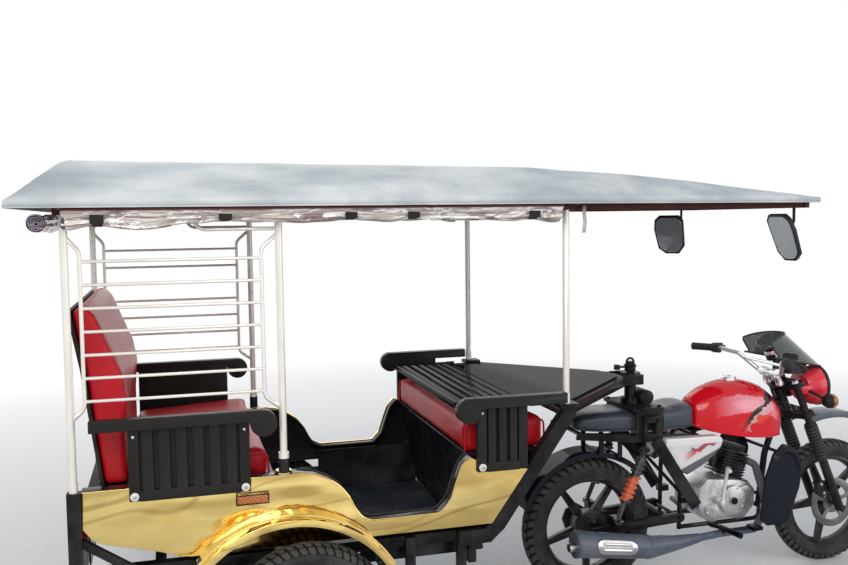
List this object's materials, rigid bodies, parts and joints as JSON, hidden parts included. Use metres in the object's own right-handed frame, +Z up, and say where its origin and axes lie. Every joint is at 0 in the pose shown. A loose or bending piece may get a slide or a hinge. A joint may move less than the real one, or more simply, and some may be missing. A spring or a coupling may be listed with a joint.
{
  "type": "auto rickshaw",
  "caption": "Passenger rickshaw: a canopied two-wheeled carriage with facing benches, its nose carried on a kingpin above a motorcycle's seat, hinged at that coupling.",
  "frame": {"origin": "on the ground under the middle of the whole vehicle's bounding box", "axes": "+X forward, +Y to the vehicle's left, +Z up"},
  "size_m": [3.847, 1.404, 1.912],
  "materials": {
    "gloss_plastic": "satin",
    "painted_metal": "satin",
    "wood": "satin",
    "fabric": "satin",
    "brass": "satin",
    "brushed_steel": "satin",
    "canopy_grey": "matt vinyl",
    "mirror": "satin",
    "tyre": "satin",
    "chrome": "satin",
    "curtain_clear": "clear film",
    "aluminium": "satin",
    "exhaust_blue": "satin",
    "smoke": "smoked",
    "matte_plastic": "satin",
    "tank_red": "gloss",
    "rubber": "satin",
    "lamp_red": "gloss",
    "amber": "clear",
    "seat_blue": "vinyl",
    "cover_white": "gloss"
  },
  "bodies": {
    "carriage": {"chassis_frame": "painted_metal", "side_steps": "painted_metal", "floor_pan": "painted_metal", "seat_box_rear": "painted_metal", "seat_box_front": "painted_metal", "body_side_right": "brass", "body_side_left": "brass", "cushion_rear": "fabric", "cushion_front": "fabric", "backrest_rear": "fabric", "backboard": "wood", "posts_right": "brushed_steel", "posts_left": "brushed_steel", "armrest_rear_right": "gloss_plastic", "armrest_rear_left": "gloss_plastic", "armrest_front_right": "gloss_plastic", "armrest_front_left": "gloss_plastic", "top_tray": "gloss_plastic", "canopy": "canopy_grey", "canopy_frame": "painted_metal", "curtain_rolls": "curtain_clear", "canopy_mirrors": "mirror", "lamps": "amber", "axle_and_springs": "painted_metal"},
    "folding_back": {"folding_backrest": "gloss_plastic"},
    "cart_wheel_right": {"cart_wheel_right": "chrome", "cart_tyre_right": "tyre"},
    "cart_wheel_left": {"cart_wheel_left": "chrome", "cart_tyre_left": "tyre"},
    "coupling_head": {"swivel_head": "painted_metal"},
    "motorcycle": {"hitch": "painted_metal", "moto_frame": "painted_metal", "engine": "aluminium", "fuel_tank": "tank_red", "rider_seat": "seat_blue", "side_covers": "cover_white", "exhaust": "exhaust_blue", "swingarm": "painted_metal", "rear_shocks": "painted_metal", "rear_mudguard": "matte_plastic", "chain_case": "painted_metal", "leg_guards": "painted_metal", "foot_controls": "painted_metal"},
    "side_stand": {"side_stand": "painted_metal"},
    "rear_wheel": {"rear_wheel": "painted_metal", "rear_tyre": "tyre"},
    "steering": {"fork": "painted_metal", "front_mudguard": "matte_plastic", "handlebar": "chrome", "grips": "rubber", "headlamp": "lamp_red", "fly_screen": "smoke", "instruments": "matte_plastic", "indicators": "gloss_plastic"},
    "front_wheel": {"front_wheel": "painted_metal", "front_tyre": "tyre", "brake_disc": "brushed_steel"}
  },
  "joints": [
    {"name": "cart_wheel_right_spin", "type": "hinge", "parent": "carriage", "child": "cart_wheel_right", "pos_m": [-1.0215, -0.635, 0.3], "axis": [0, 1, 0], "continuous": true},
    {"name": "cart_wheel_left_spin", "type": "hinge", "parent": "carriage", "child": "cart_wheel_left", "pos_m": [-1.0215, 0.635, 0.3], "axis": [0, 1, 0], "continuous": true},
    {"name": "backrest_fold", "type": "hinge", "parent": "carriage", "child": "folding_back", "pos_m": [-0.1595, 0, 1], "axis": [0, 1, 0], "range_deg": [0, 95]},
    {"name": "hitch_pitch", "type": "hinge", "parent": "carriage", "child": "coupling_head", "pos_m": [0.5565, 0, 0.967], "axis": [0, 1, 0], "range_deg": [-5, 5]},
    {"name": "hitch_yaw", "type": "hinge", "parent": "coupling_head", "child": "motorcycle", "pos_m": [0.5565, 0, 0.967], "axis": [0, 0, 1], "range_deg": [-45, 45]},
    {"name": "rear_wheel_spin", "type": "hinge", "parent": "motorcycle", "child": "rear_wheel", "pos_m": [0.3365, 0, 0.309], "axis": [0, 1, 0], "continuous": true},
    {"name": "side_stand_swing", "type": "hinge", "parent": "motorcycle", "child": "side_stand", "pos_m": [0.8065, 0.15, 0.258], "axis": [0, 1, 0], "range_deg": [-98, 0]},
    {"name": "steering", "type": "hinge", "parent": "motorcycle", "child": "steering", "pos_m": [1.59123, 0, 0.28644], "axis": [-0.3875, 0, 0.9219], "range_deg": [-35, 35]},
    {"name": "front_wheel_spin", "type": "hinge", "parent": "steering", "child": "front_wheel", "pos_m": [1.6235, 0, 0.3], "axis": [0, 1, 0], "continuous": true}
  ]
}
